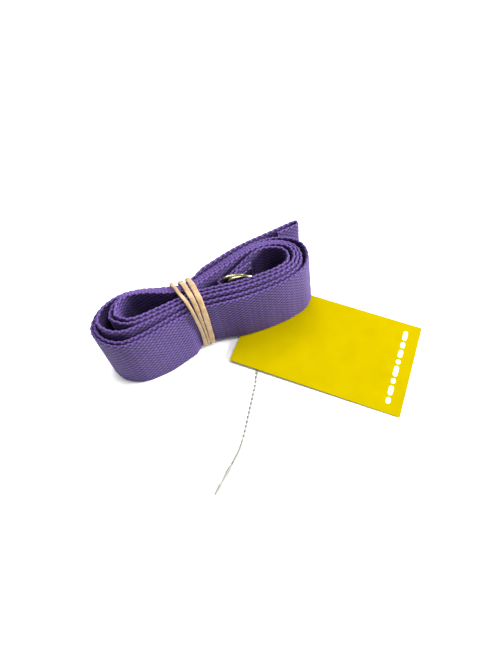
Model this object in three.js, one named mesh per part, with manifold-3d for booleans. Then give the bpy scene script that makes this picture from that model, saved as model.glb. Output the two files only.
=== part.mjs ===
// A woven webbing strap wound into a flat hank and held by a rubber band, with two
// D-rings sewn into its inner end and a card hang tag on a beaded nylon tie.
//
// Millimetres, +Z up. The hank stands on the lower edges of its webbing and lies along X.
// The origin is under the middle of the whole part, at the height of the surface it stands on.

import * as THREE from "three";
import { mergeVertices } from "three/addons/utils/BufferGeometryUtils.js";
import Module from "manifold-3d";

const wasm = await Module();
wasm.setup();

// ---------------------------------------------------------------- driving dimensions
const CENTRE_SHIFT = new THREE.Vector3(1.16, -0.1, 0); // moves the part's middle over the origin

const WEB_WIDTH = 38; // 1.5 inch webbing
const WEB_THICKNESS = 1.4;
const LAP_PITCH = 1.68; // from one lap of webbing to the next where they touch
const STEP_ALONG = 2.6; // longest distance between the sections of the swept webbing
const LEAN = new THREE.Vector2(3.3, 1.2); // how far the lower edge stands from under the upper edge

const WIRE = 1.9; // D-ring wire diameter
const RING_BAR = 37.2; // clear length of the D-ring's straight bar
const RING_DEPTH = 18; // from the middle of the bar to the middle of the bow's crown
const RING_CORNER = 2.5; // bend radius where the bar meets the sides
const RING_TOP = 42.5; // height of the near ring's upper side
const FAR_RING_DROP = 0.7;

const BAND_THICKNESS = 0.7;

const TAG_LENGTH = 88.9; // 3.5 x 2 1/8 inch card
const TAG_WIDTH = 54;
const TAG_THICKNESS = 0.35;
const TAG_CORNER = 0.6;
const TAG_TURN = THREE.MathUtils.degToRad(-42.2); // its long side, seen from above
const TAG_NEAR_CORNER = new THREE.Vector3(-22.7, 7.15, 1.95); // the corner in front of the hank
const TAG_SLOPE = Math.asin(1.85 / TAG_LENGTH); // one end rests on the beaded tie
const HOLE_RADIUS = 2;
const HOLE_FROM_END = 8;
const HOLE_FROM_SIDE = 36;

const TIE_RADIUS = 0.75; // over the beads
const TIE_CLEARANCE = 0.05; // above the surface it lies on

// ---------------------------------------------------------------- helpers
const smooth = (x) => x * x * (3 - 2 * x);
const clamp01 = (x) => Math.min(1, Math.max(0, x));

function closedGeometry(positions, triangles) {
  const geometry = new THREE.BufferGeometry();
  geometry.setAttribute("position", new THREE.Float32BufferAttribute(positions, 3));
  geometry.setIndex(triangles);
  geometry.computeVertexNormals();
  return geometry;
}

// Joins equal rings of points, given as arrays of Vector3, into one closed skin.
function skin(rings, looped = false) {
  const sides = rings[0].length;
  const positions = rings.flat().flatMap((p) => [p.x, p.y, p.z]);
  const triangles = [];
  const spans = looped ? rings.length : rings.length - 1;
  for (let i = 0; i < spans; i++) {
    const here = i * sides;
    const next = ((i + 1) % rings.length) * sides;
    for (let j = 0; j < sides; j++) {
      const k = (j + 1) % sides;
      triangles.push(here + j, next + j, next + k, here + j, next + k, here + k);
    }
  }
  if (!looped) {
    const last = (rings.length - 1) * sides;
    for (let j = 1; j < sides - 1; j++) {
      triangles.push(0, j, j + 1);
      triangles.push(last, last + j + 1, last + j);
    }
  }
  return closedGeometry(positions, triangles);
}

function toManifold(geometry) {
  const bare = geometry.clone();
  bare.deleteAttribute("normal");
  bare.deleteAttribute("uv");
  const merged = mergeVertices(bare, 1e-4);
  const triVerts = new Uint32Array(merged.index.array);
  const vertProperties = merged.attributes.position.array;
  return new wasm.Manifold(new wasm.Mesh({ numProp: 3, vertProperties, triVerts }));
}

function fromManifold(solid) {
  const mesh = solid.getMesh();
  const geometry = new THREE.BufferGeometry();
  geometry.setAttribute("position", new THREE.BufferAttribute(mesh.vertProperties, 3));
  geometry.setIndex(new THREE.BufferAttribute(mesh.triVerts, 1));
  geometry.computeVertexNormals();
  return geometry;
}

const material = (color, roughness, metalness) =>
  new THREE.MeshStandardMaterial({ color, roughness, metalness });

const MATERIALS = {
  webbing: material(0x6a50a0, 0.85, 0),
  thread: material(0x8f78c4, 0.8, 0),
  steel: material(0xc8c4b8, 0.25, 1),
  rubber: material(0xdeb878, 0.55, 0),
  card: material(0xeed700, 0.5, 0),
  nylon: material(0xc8c8cc, 0.4, 0),
};

function node(name, geometry, surface) {
  const mesh = new THREE.Mesh(geometry, surface);
  mesh.name = name;
  return mesh;
}

// ---------------------------------------------------------------- the hank's winding
// One lap runs from the back of the waist round the left lobe, the front of the waist and the
// right lobe. Each row holds a station on the outermost lap, a point further in that the laps
// inside it are stacked towards, and how far the lower edge spreads outwards beyond its lean.
const STATIONS = [
  [-33, 35.3, -33, 28.1, 0], // back of the waist
  [-44, 37.3, -42.5, 30.3, 0.3],
  [-54, 40.4, -53, 33.5, 0.6],
  [-63, 41.1, -61, 34.5, 0.9],
  [-71, 38.7, -66.2, 32.2, 1.6],
  [-77.5, 33.6, -68.7, 29.8, 2.3],
  [-80.8, 26.2, -69, 26.3, 2.1], // end of the left lobe
  [-77.8, 18.5, -67.2, 23.0, 1.9],
  [-71, 13.4, -64.4, 21.3, 1.2],
  [-62.3, 12.9, -59.4, 21.2, 1.2],
  [-51.5, 15.1, -50, 22.9, 1.9],
  [-42, 17.3, -41.8, 25.0, 2.2],
  [-33, 18.7, -33, 26.1, -1.9], // front of the waist
  [-24, 18.3, -24, 25.6, -1.1],
  [-10, 16.8, -10, 24.2, 0],
  [4, 16.9, 3, 23.8, 0.3],
  [16, 18.7, 10.9, 24.1, 0.6],
  [24.2, 22.3, 16.1, 26.7, 1.1],
  [28.4, 28.5, 17.6, 30.6, 1.5],
  [28.6, 34.8, 16.8, 34.2, 1.5], // end of the right lobe
  [25.1, 40.1, 14.1, 37.0, 1.2],
  [17.6, 44.0, 9.3, 38.9, 0.6],
  [8, 45.0, 3.2, 38.7, 0.3],
  [-1, 43.8, -4, 36.2, 0],
  [-10.5, 41.0, -12, 33.2, 0],
  [-22, 37.1, -22.5, 30.2, 0],
  [-33, 33.6, -33, 26.4, 0],
];
const WAIST_X = -33;
const LAST_LAP = 4;
const SPANS = STATIONS.length - 1;

// Daylight between one lap and the next: which lap it lies inside of, the station at its middle,
// how many stations it fades over and its greatest width.
const GAPS = [
  { after: 0, at: 19, reach: 3.4, width: 2.3 },
  { after: 1, at: 8, reach: 3.2, width: 2.0 },
  { after: 2, at: 6.1, reach: 3.5, width: 4.4 },
  { after: 3, at: 6.2, reach: 2.6, width: 0.9 },
  { after: 3, at: 19.2, reach: 3.4, width: 1.9 },
];

// Height of the upper edge on each lap at the back waist, the left lobe's back and end, the front
// waist and the right lobe. The inner laps stand a little proud of the outer ones.
const HEIGHT_AT = [0, 0.1, 0.23, 0.48, 0.73];
const UPPER_EDGE = [
  [38.3, 38.2, 38.0, 38.4, 40.7],
  [39.4, 39.6, 38.7, 40.0, 41.2],
  [40.8, 41.8, 42.5, 42.2, 42.0],
  [42.0, 43.2, 43.4, 42.8, 42.5],
  [42.7, 44.5, 44.4, 43.1, 43.0],
];
const FOOT_LIFT = 2.8; // the card and the band under the hank hold the lower edges up by this much
const WAIST_LIFT = 0.8; // and the band draws them up a little more
const LESS_SPREAD = 0.05; // share of the lower edge's spread that each lap further in lacks

const catmull = (points) => new THREE.CatmullRomCurve3(points, false, "centripetal");
const outerLap = catmull(STATIONS.map(([x, y]) => new THREE.Vector3(x, y, 0)));
const innerLap = catmull(STATIONS.map(([, , x, y]) => new THREE.Vector3(x, y, 0)));

// Distance of a lap inside the outermost one.
function depthOf(lap, turn) {
  let depth = lap * LAP_PITCH;
  for (const gap of GAPS) {
    const away = Math.abs(turn * SPANS - gap.at) / gap.reach;
    if (lap > gap.after && away < 1) depth += (gap.width * (1 + Math.cos(Math.PI * away))) / 2;
  }
  return depth;
}

function upperEdge(windings) {
  const keys = UPPER_EDGE.flatMap((row, lap) => row.map((z, i) => [lap + HEIGHT_AT[i], z]));
  if (windings <= keys[0][0]) return keys[0][1];
  const i = keys.findIndex(([n]) => n > windings);
  if (i < 0) return keys.at(-1)[1];
  const [[n0, z0], [n1, z1]] = [keys[i - 1], keys[i]];
  return z0 + (z1 - z0) * smooth((windings - n0) / (n1 - n0));
}

// A station of the webbing's middle line: x and y of its upper edge, the heights of both edges and
// the spread of the lower one.
function windingPoint(windings) {
  const lap = Math.min(Math.floor(windings), LAST_LAP);
  const turn = windings - lap;
  const place = outerLap.getPoint(turn);
  const inward = innerLap.getPoint(turn).sub(place).normalize();
  const squareness = inward.clone().cross(outerLap.getTangent(turn)).length();
  place.addScaledVector(inward, depthOf(lap, turn) / squareness);
  const top = upperEdge(windings);
  const spread = STATIONS[Math.round(turn * SPANS)][4] * (1 - LESS_SPREAD * lap);
  return { x: place.x, y: place.y, top, bottom: top - WEB_WIDTH, spread };
}

// ---------------------------------------------------------------- the strap's two ends
const spot = (x, y) => new THREE.Vector2(x, y);

// Points of a bend round a centre, from one angle to another in degrees.
function bend(centre, radius, from, to, count) {
  return Array.from({ length: count + 1 }, (_, i) => {
    const angle = THREE.MathUtils.degToRad(from + ((to - from) * i) / count);
    return spot(centre.x + radius * Math.cos(angle), centre.y + radius * Math.sin(angle));
  });
}

// The free tail lies along the back of the right lobe and folds back on itself in a hem.
const HEM_LENGTH = 11;
const HEM_RADIUS = 1.3;
const HEM_HEADING = 8; // degrees, of the tail's last stretch
const HEM_FOLD = spot(30.8, 49.05);
const TAIL_TOP = 40.8;
const hemAlong = spot(1, 0).rotateAround(spot(0, 0), THREE.MathUtils.degToRad(HEM_HEADING));
const hemFold = bend(HEM_FOLD, HEM_RADIUS, HEM_HEADING - 90, HEM_HEADING + 90, 6);
const tailLine = [
  hemFold[0].clone().addScaledVector(hemAlong, -HEM_LENGTH), // cut edge
  ...hemFold,
  spot(26, 49.8),
  spot(20, 48.9),
  spot(14, 48.05),
  spot(8, 47.25),
  spot(2, 46.35),
  spot(-4, 45.15),
  spot(-10.5, 43.3),
  spot(-16, 41.5),
  spot(-22, 39.5),
];

// The inner end leaves the right lobe, runs round both ring bars and is sewn back to itself.
const FAR_BAR = spot(-15.6, 29.35);
const NEAR_BAR = spot(-13.3, 26.95);
const LOOP_RADIUS = WIRE / 2 + 0.2 + WEB_THICKNESS / 2;
const NEAR_BAR_EDGE = RING_TOP - WIRE - 1.1; // the webbing's upper edge on each bar
const FAR_BAR_EDGE = NEAR_BAR_EDGE - FAR_RING_DROP;
const LOOP_WIDTH = 34.2; // the webbing gathers a little on the bars
const toRings = [spot(2.6, 37.2), spot(-1, 36.2), spot(-5, 34.7), spot(-9.2, 32.9), spot(-12.5, 31.45)];
const roundFarBar = bend(FAR_BAR, LOOP_RADIUS, 98, 205, 5);
const roundNearBar = bend(NEAR_BAR, LOOP_RADIUS, 235, 375, 6);
const sewnBack = [
  spot(-10.6, 29.55),
  spot(-8.7, 31.45),
  spot(-5, 32.9),
  spot(-1, 34.4),
  spot(1.2, 35.1), // cut edge inside the loop
];

function strapLine() {
  const edges = (x, y, top, width = WEB_WIDTH) => ({ x, y, top, bottom: top - width, spread: 0 });
  const line = tailLine.map(({ x, y }) => edges(x, y, TAIL_TOP));
  const lastStation = LAST_LAP * SPANS + 21;
  for (let i = 0; i <= lastStation; i++) line.push(windingPoint(i / SPANS));
  const lobeTop = line.at(-1).top;
  toRings.forEach(({ x, y }, i) => {
    const share = smooth((i + 1) / toRings.length);
    const top = lobeTop + (FAR_BAR_EDGE - lobeTop) * share;
    line.push(edges(x, y, top, WEB_WIDTH + (LOOP_WIDTH - WEB_WIDTH) * share));
  });
  line.push(...roundFarBar.map(({ x, y }) => edges(x, y, FAR_BAR_EDGE, LOOP_WIDTH)));
  line.push(...roundNearBar.map(({ x, y }) => edges(x, y, NEAR_BAR_EDGE, LOOP_WIDTH)));
  line.push(...sewnBack.map(({ x, y }) => edges(x, y, NEAR_BAR_EDGE, LOOP_WIDTH)));
  return line;
}

const SETTLING = 0.3; // the lower edges settle by this much

// The left lobe stands on the surface; the waist and the right lobe are held off it.
function footLift(x) {
  const nearWaist = Math.exp(-(((x - WAIST_X) / 6) ** 2));
  return FOOT_LIFT * smooth(clamp01((x + 58) / 20)) + WAIST_LIFT * nearWaist;
}

function strapGeometry() {
  const line = strapLine();
  const uppers = catmull(line.map((p) => new THREE.Vector3(p.x, p.y, p.top)));
  const lowers = catmull(line.map((p) => new THREE.Vector3(p.x, p.y, p.bottom)));
  const rings = [];
  for (let i = 0; i < line.length; i++) {
    const next = line[Math.min(i + 1, line.length - 1)];
    const cuts = Math.max(1, Math.round(Math.hypot(next.x - line[i].x, next.y - line[i].y) / STEP_ALONG));
    for (let j = 0; j < cuts; j++) {
      const t = (i + j / cuts) / (line.length - 1);
      const high = uppers.getPoint(t);
      const bottom = Math.max(lowers.getPoint(t).z - SETTLING, footLift(high.x));
      const along = uppers.getTangent(t).setZ(0).normalize();
      const side = new THREE.Vector3(-along.y, along.x, 0).multiplyScalar(WEB_THICKNESS / 2);
      const drop = (high.z - bottom) / WEB_WIDTH;
      const spread = drop * (line[i].spread + (next.spread - line[i].spread) * smooth(j / cuts));
      const foot = new THREE.Vector3(
        high.x + LEAN.x * drop + spread * along.y,
        high.y + LEAN.y * drop - spread * along.x,
        bottom,
      );
      rings.push([
        high.clone().add(side),
        foot.clone().add(side),
        foot.clone().sub(side),
        high.clone().sub(side),
      ]);
    }
  }
  return skin(rings);
}

// ---------------------------------------------------------------- D-rings
// The outline of the wire's middle line: the bar on the left, the bow on the right.
function ringOutline() {
  const half = (RING_BAR + WIRE) / 2;
  const bow = RING_DEPTH - RING_CORNER;
  const outline = new THREE.Shape();
  outline.moveTo(0, -half + RING_CORNER);
  outline.lineTo(0, half - RING_CORNER);
  outline.absarc(RING_CORNER, half - RING_CORNER, RING_CORNER, Math.PI, Math.PI / 2, true);
  outline.absellipse(RING_CORNER, 0, bow, half, Math.PI / 2, -Math.PI / 2, true);
  outline.absarc(RING_CORNER, -half + RING_CORNER, RING_CORNER, -Math.PI / 2, -Math.PI, true);
  return outline;
}

// Sweeps a round section along a closed line that lies in the XY plane.
function wireLoop(outline, radius, steps, sides) {
  const line = outline.getSpacedPoints(steps).slice(0, steps);
  const rings = line.map((p, i) => {
    const along = line[(i + 1) % steps].clone().sub(line[(i + steps - 1) % steps]).normalize();
    return Array.from({ length: sides }, (_, j) => {
      const angle = (2 * Math.PI * j) / sides;
      const out = radius * Math.cos(angle);
      return new THREE.Vector3(p.x + along.y * out, p.y - along.x * out, radius * Math.sin(angle));
    });
  });
  return skin(rings, true);
}

// Stands a flat outline on edge in the webbing's lean: its x runs along a heading and its y up.
function standOnEdge(mesh, place, heading, upperEdgeHeight, height) {
  const up = new THREE.Vector3(-LEAN.x, -LEAN.y, WEB_WIDTH).normalize();
  const turn = THREE.MathUtils.degToRad(heading);
  const along = new THREE.Vector3(Math.cos(turn), Math.sin(turn), 0);
  along.addScaledVector(up, -along.dot(up)).normalize();
  mesh.setRotationFromMatrix(new THREE.Matrix4().makeBasis(along, up, along.clone().cross(up)));
  const down = (upperEdgeHeight - height) / WEB_WIDTH;
  mesh.position.set(place.x + LEAN.x * down, place.y + LEAN.y * down, height);
  return mesh;
}

// A ring with its bar on the webbing's loop and its bow towards +X.
function dRing(name, bar, heading, drop) {
  const ring = node(name, wireLoop(ringOutline(), WIRE / 2, 72, 8), MATERIALS.steel);
  const height = RING_TOP - drop - WIRE - RING_BAR / 2;
  return standOnEdge(ring, bar, heading, NEAR_BAR_EDGE - drop, height);
}

// ---------------------------------------------------------------- rubber band
// The band goes three times round the waist. Seen from the front its turns spread from one spot
// at the foot to three places on top. For each turn: its X and its width at the front's foot, half
// way up, at the front's upper edge, on the crown, at the back's upper edge and at the back's foot.
const BAND_TURNS = [
  { x: [-31.3, -32.2, -34.5, -37.8, -39.2, -35.8], width: [2.1, 1.9, 1.6, 1.6, 1.7, 1.9] },
  { x: [-29.5, -30.4, -32.1, -33.7, -34.7, -32.9], width: [1.2, 1.3, 2.0, 2.4, 2.6, 1.9] },
  { x: [-27.4, -28.1, -29.4, -30.4, -30.9, -29.8], width: [2.4, 2.7, 2.6, 2.5, 2.5, 1.9] },
];
const BAND_STAGES = [3.8, 20, 38.6]; // heights at which the band lies against the webbing
const BAND_PINCH = 1.35; // how far in the band draws the front's lower edge
// How the band passes over the waist, as [y, z], between the two upper edges.
const BAND_CROWN = [
  [18.9, 41.0],
  [21.8, 43.4],
  [27.0, 44.2],
  [31.2, 43.1],
  [34.5, 40.5],
];
const CROWN_Y = 27;
const BAND_UNDER = 2.5; // height of the turns under the hank
const BAND_CROSSING = 1.7; // the last turn comes back under the others
const CORNER_RISE = 0.1;
const BAND_OFF = WEB_THICKNESS / 2 + 0.33 + BAND_THICKNESS / 2;

// Where the band's middle line stands off the outermost webbing at the front and at the back.
const shareDown = (z) => (WEB_WIDTH - z) / WEB_WIDTH;
function frontFace(x, z) {
  const upper = x - LEAN.x * shareDown(z);
  const y = 18.7 - 0.11 * Math.max(0, WAIST_X - upper) - 0.03 * Math.max(0, upper - WAIST_X);
  return y + (LEAN.y + BAND_PINCH) * shareDown(z) - BAND_OFF;
}
function backFace(x, z) {
  const upper = x - LEAN.x * shareDown(z);
  const y = 35.5 + 0.16 * Math.max(0, WAIST_X - upper) + 0.4 * Math.max(0, upper - WAIST_X);
  return y + LEAN.y * shareDown(z) + BAND_OFF;
}

// Points of the band's middle line, each as [x, y, z, width].
function bandPoints() {
  const points = [];
  const mix = (a, b, share) => a + (b - a) * share;
  BAND_TURNS.forEach(({ x, width }, i) => {
    const next = BAND_TURNS[(i + 1) % BAND_TURNS.length];
    const underneath = i === BAND_TURNS.length - 1 ? BAND_CROSSING : BAND_UNDER;
    BAND_STAGES.forEach((z, k) => points.push([x[k], frontFace(x[k], z), z, width[k]]));
    for (const [y, z] of BAND_CROWN) {
      const k = y < CROWN_Y ? 2 : 3;
      const share = k === 2 ? (y - 17) / (CROWN_Y - 17) : (y - CROWN_Y) / (37 - CROWN_Y);
      points.push([mix(x[k], x[k + 1], share), y, z, mix(width[k], width[k + 1], share)]);
    }
    for (const z of [...BAND_STAGES].reverse()) {
      const share = shareDown(z);
      const backX = mix(x[4], x[5], share);
      points.push([backX, backFace(backX, z), z, mix(width[4], width[5], share)]);
    }
    const backFoot = backFace(x[5], BAND_STAGES[0]);
    const frontFoot = frontFace(next.x[0], BAND_STAGES[0]);
    for (const share of [0.04, 0.12, 0.36, 0.64, 0.88, 0.96]) {
      const corner = share < 0.1 || share > 0.9 ? CORNER_RISE : 0;
      const y = mix(backFoot, frontFoot, share);
      const wide = mix(width[5], next.width[0], share);
      points.push([mix(x[5], next.x[0], share), y, underneath + corner, wide]);
    }
  });
  return points;
}

function bandGeometry() {
  const points = bandPoints();
  const loop = (toVector) => new THREE.CatmullRomCurve3(points.map(toVector), true, "centripetal");
  const curve = loop(([x, y, z]) => new THREE.Vector3(x, y, z));
  const widths = loop(([, , , width]) => new THREE.Vector3(width, 0, 0));
  const steps = 3 * points.length;
  const sides = 8;
  const axis = new THREE.Vector3(1, 0, 0);
  const rings = Array.from({ length: steps }, (_, i) => {
    const centre = curve.getPoint(i / steps);
    const along = curve.getTangent(i / steps);
    const width = widths.getPoint(i / steps).x;
    const wide = axis.clone().addScaledVector(along, -axis.dot(along)).normalize();
    const thick = wide.clone().cross(along);
    return Array.from({ length: sides }, (_, j) => {
      const angle = (2 * Math.PI * (j + 0.5)) / sides;
      return centre
        .clone()
        .addScaledVector(wide, (Math.cos(angle) * width) / 2)
        .addScaledVector(thick, (Math.sin(angle) * BAND_THICKNESS) / 2);
    });
  });
  return skin(rings, true);
}

// ---------------------------------------------------------------- stitching
const THREAD_RADIUS = 0.2;
const STITCH_OFF = WEB_THICKNESS / 2 + THREAD_RADIUS + 0.3; // from the webbing's middle to a seam

// A seam sewn round a rectangle, standing just off the webbing's face.
function boxStitch(name, width, height, middle, heading) {
  const outline = new THREE.Shape();
  outline.moveTo(-width / 2, -height / 2);
  outline.lineTo(width / 2, -height / 2);
  outline.lineTo(width / 2, height / 2);
  outline.lineTo(-width / 2, height / 2);
  outline.closePath();
  const seam = node(name, wireLoop(outline, THREAD_RADIUS, 40, 5), MATERIALS.thread);
  return standOnEdge(seam, middle, heading, TAIL_TOP, TAIL_TOP - WEB_WIDTH / 2);
}

// The middle of a seam: a spot on the webbing, moved off it to the left or right of its heading.
function besideWebbing(place, heading, side) {
  const turn = THREE.MathUtils.degToRad(heading);
  const off = side * STITCH_OFF;
  return spot(place.x - Math.sin(turn) * off, place.y + Math.cos(turn) * off);
}

// ---------------------------------------------------------------- hang tag
function tagGeometry() {
  const [l, w, r] = [TAG_LENGTH, TAG_WIDTH, TAG_CORNER];
  const card = new THREE.Shape();
  card.moveTo(r, 0);
  card.lineTo(l - r, 0);
  card.absarc(l - r, r, r, -Math.PI / 2, 0, false);
  card.lineTo(l, w - r);
  card.absarc(l - r, w - r, r, 0, Math.PI / 2, false);
  card.lineTo(r, w);
  card.absarc(r, w - r, r, Math.PI / 2, Math.PI, false);
  card.lineTo(0, r);
  card.absarc(r, r, r, Math.PI, 1.5 * Math.PI, false);
  const hole = new THREE.Path();
  hole.absarc(HOLE_FROM_END, HOLE_FROM_SIDE, HOLE_RADIUS, 0, 2 * Math.PI, true);
  card.holes.push(hole);
  return new THREE.ExtrudeGeometry(card, {
    depth: TAG_THICKNESS,
    bevelEnabled: false,
    curveSegments: 12,
  });
}

const tagFrame = new THREE.Group();
tagFrame.position.copy(TAG_NEAR_CORNER);
tagFrame.rotation.order = "ZYX";
tagFrame.rotation.set(0, TAG_SLOPE, TAG_TURN);
tagFrame.updateMatrix();
const onTag = (x, y, z) => new THREE.Vector3(x, y, z).applyMatrix4(tagFrame.matrix);
const hole = onTag(HOLE_FROM_END, HOLE_FROM_SIDE, 0);

// ---------------------------------------------------------------- beaded tie
// The tie hangs through the tag's hole on its locking head, runs out under the card and ends in
// the barb that would be pushed into the head to close the loop.
const TIE_HEIGHT = TIE_CLEARANCE + TIE_RADIUS;
const HEAD_SIZE = 3.4;
const HEAD_HEIGHT = 2.2;
const BARB_LENGTH = 13;
const TIE_LINE = [
  [0, 0, 1.1],
  [-0.3, -0.7, 0.2],
  [-2.2, -4.2, 0],
  [-5.4, -10.4, 0],
  [-9.0, -17.2, 0],
  [-13.0, -24.2, 0],
  [-17.6, -29.5, 0],
  [-20.6, -34.8, 0],
  [-23.2, -39.6, 0],
  [-26.2, -44.3, 0],
  [-29.3, -49.0, 0],
  [-32.2, -53.4, 0],
  [-35.0, -57.8, 0],
  [-37.7, -61.8, 0],
  [-40.2, -65.2, 0],
  [-43.2, -68.6, 0],
  [-46.8, -71.8, 0],
]; // from the hole, in plan, and height above the surface's own

function tieString() {
  const points = TIE_LINE.map(([x, y, z]) => new THREE.Vector3(hole.x + x, hole.y + y, TIE_HEIGHT + z));
  const section = new THREE.Shape().absarc(0, 0, TIE_RADIUS, 0, 2 * Math.PI, false);
  const curve = new THREE.CatmullRomCurve3(points, false, "centripetal");
  const steps = 44;
  const options = { steps, extrudePath: curve, curveSegments: 4, bevelEnabled: false };
  return new THREE.ExtrudeGeometry(section, options);
}

function tieHead() {
  const half = HEAD_SIZE / 2;
  const bevel = 0.4;
  const face = new THREE.Shape();
  face.moveTo(-half + bevel, -half + bevel);
  face.lineTo(half - bevel, -half + bevel);
  face.lineTo(half - bevel, half - bevel);
  face.lineTo(-half + bevel, half - bevel);
  face.closePath();
  const geometry = new THREE.ExtrudeGeometry(face, {
    depth: HEAD_HEIGHT - 2 * bevel,
    bevelThickness: bevel,
    bevelSize: bevel,
    bevelSegments: 2,
  });
  return geometry.translate(0, 0, bevel);
}

// A flat pointed barb with a step behind its point, lying along +X.
function tieBarb() {
  const outline = new THREE.Shape();
  outline.moveTo(0, -0.6);
  outline.lineTo(2.5, -0.9);
  outline.lineTo(4.5, -0.9);
  outline.lineTo(5, -0.55);
  outline.lineTo(BARB_LENGTH, -0.25);
  outline.lineTo(BARB_LENGTH, 0.25);
  outline.lineTo(5, 0.55);
  outline.lineTo(4.5, 0.9);
  outline.lineTo(2.5, 0.9);
  outline.lineTo(0, 0.6);
  outline.closePath();
  return new THREE.ExtrudeGeometry(outline, { depth: 1, bevelEnabled: false });
}

// ---------------------------------------------------------------- assembly
const group = new THREE.Group();
group.add(node("webbing_strap", strapGeometry(), MATERIALS.webbing));
group.add(dRing("d_ring_far", FAR_BAR, -3, FAR_RING_DROP));
group.add(dRing("d_ring_near", NEAR_BAR, -3, 0));
group.add(node("rubber_band", bandGeometry(), MATERIALS.rubber));

const hemMiddle = HEM_FOLD.clone().addScaledVector(hemAlong, -5.5);
hemMiddle.addScaledVector(spot(-hemAlong.y, hemAlong.x), HEM_RADIUS);
const onTail = besideWebbing(hemMiddle, HEM_HEADING, 1);
group.add(boxStitch("tail_hem_stitches", 7, 31, onTail, HEM_HEADING));

const sewnHeading = THREE.MathUtils.radToDeg(sewnBack.at(-1).clone().sub(sewnBack[1]).angle());
const onLoop = besideWebbing(sewnBack[3].clone().add(spot(-1.4, -0.5)), sewnHeading, -1);
group.add(boxStitch("ring_loop_stitches", 5.5, 29, onLoop, sewnHeading));

tagFrame.add(node("hang_tag", tagGeometry(), MATERIALS.card));
group.add(tagFrame);

group.add(node("tag_tie_string", tieString(), MATERIALS.nylon));
const head = node("tag_tie_head", tieHead(), MATERIALS.nylon);
head.position.copy(hole).setZ(hole.z + TAG_THICKNESS + 0.3);
head.rotation.z = TAG_TURN;
group.add(head);

const [tieX, tieY] = TIE_LINE.at(-1);
const barb = node("tag_tie_barb", tieBarb(), MATERIALS.nylon);
const [beforeX, beforeY] = TIE_LINE.at(-2);
barb.rotation.z = Math.atan2(tieY - beforeY, tieX - beforeX);
barb.position.set(hole.x + tieX, hole.y + tieY, TIE_CLEARANCE);
barb.translateX(0.3);
group.add(barb);

const root = new THREE.Group();
group.position.copy(CENTRE_SHIFT);
root.add(group);
export default root;
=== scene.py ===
"""The looks of the wound webbing strap, its rings, rubber band, hang tag and beaded tie."""

import math

import bpy
import numpy as np
from mathutils import Matrix, Vector


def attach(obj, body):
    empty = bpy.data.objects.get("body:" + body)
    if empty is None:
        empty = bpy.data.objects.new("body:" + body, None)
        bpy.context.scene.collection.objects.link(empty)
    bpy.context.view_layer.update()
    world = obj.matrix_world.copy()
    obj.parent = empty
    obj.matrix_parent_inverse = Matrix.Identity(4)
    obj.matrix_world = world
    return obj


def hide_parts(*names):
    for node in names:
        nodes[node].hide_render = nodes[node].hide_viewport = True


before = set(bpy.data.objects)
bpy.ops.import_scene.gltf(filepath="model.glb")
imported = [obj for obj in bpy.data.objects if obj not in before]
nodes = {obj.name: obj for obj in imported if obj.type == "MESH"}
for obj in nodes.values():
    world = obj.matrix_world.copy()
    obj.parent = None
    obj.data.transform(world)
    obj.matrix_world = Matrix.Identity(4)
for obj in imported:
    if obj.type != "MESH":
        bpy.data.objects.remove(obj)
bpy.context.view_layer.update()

# All lengths are in millimetres, in the CAD's own working axes. TO_FRAME takes them to the frame.
MM = 0.001
TO_FRAME = np.array([1.16, -0.1, 0.0])

WEB_WIDTH = 38.0
WEB_THICKNESS = 1.4
LEAN = np.array([3.3, 1.2])  # how far the lower edge stands from under the upper edge


def in_frame(x, y, z):
    return (np.array([x, y, z]) + TO_FRAME) * MM


# ---------------------------------------------------------------- camera
CAMERA_PLACE = in_frame(-50.65, -114.4, 232.0)
CAMERA_HEADING = -17.6  # degrees, to the right of +Y
CAMERA_DOWN = 58.28  # below the horizon
CAMERA_ROLL = -3.94
CAMERA_LENS = 27.49


def turned(axis, degrees):
    return Matrix.Rotation(math.radians(degrees), 4, axis)


camera = bpy.data.objects.new("camera", bpy.data.cameras.new("camera"))
camera.data.lens = CAMERA_LENS
camera.data.sensor_width = 36
camera.data.clip_start = 0.01
camera.matrix_world = (
    Matrix.Translation(Vector(CAMERA_PLACE))
    @ turned("Z", CAMERA_HEADING)
    @ turned("X", 90 - CAMERA_DOWN)
    @ turned("Z", CAMERA_ROLL)
)
bpy.context.scene.collection.objects.link(camera)
bpy.context.scene.camera = camera


# ---------------------------------------------------------------- helpers for shapes
def smooth(x):
    x = np.clip(x, 0, 1)
    return x * x * (3 - 2 * x)


def unit(vectors):
    return vectors / np.linalg.norm(vectors, axis=-1, keepdims=True)


def catmull(points, at):
    """Points of a centripetal Catmull-Rom curve, where `at` counts from one point to the next."""
    points = np.asarray(points, float)
    whole = np.concatenate([2 * points[:1] - points[1:2], points, 2 * points[-1:] - points[-2:-1]])
    at = np.asarray(at, float)
    i = np.clip(np.floor(at).astype(int), 0, len(points) - 2)
    u = (at - i)[..., None]
    p0, p1, p2, p3 = (whole[i + k] for k in range(4))
    d0, d1, d2 = (
        np.sqrt(np.maximum(np.linalg.norm(b - a, axis=-1, keepdims=True), 1e-4))
        for a, b in ((p0, p1), (p1, p2), (p2, p3))
    )
    m1 = ((p1 - p0) / d0 - (p2 - p0) / (d0 + d1) + (p2 - p1) / d1) * d1
    m2 = ((p2 - p1) / d1 - (p3 - p1) / (d1 + d2) + (p3 - p2) / d2) * d1
    cubic = 2 * p1 - 2 * p2 + m1 + m2
    square = 3 * p2 - 3 * p1 - 2 * m1 - m2
    return p1 + u * (m1 + u * (square + u * cubic))


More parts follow.
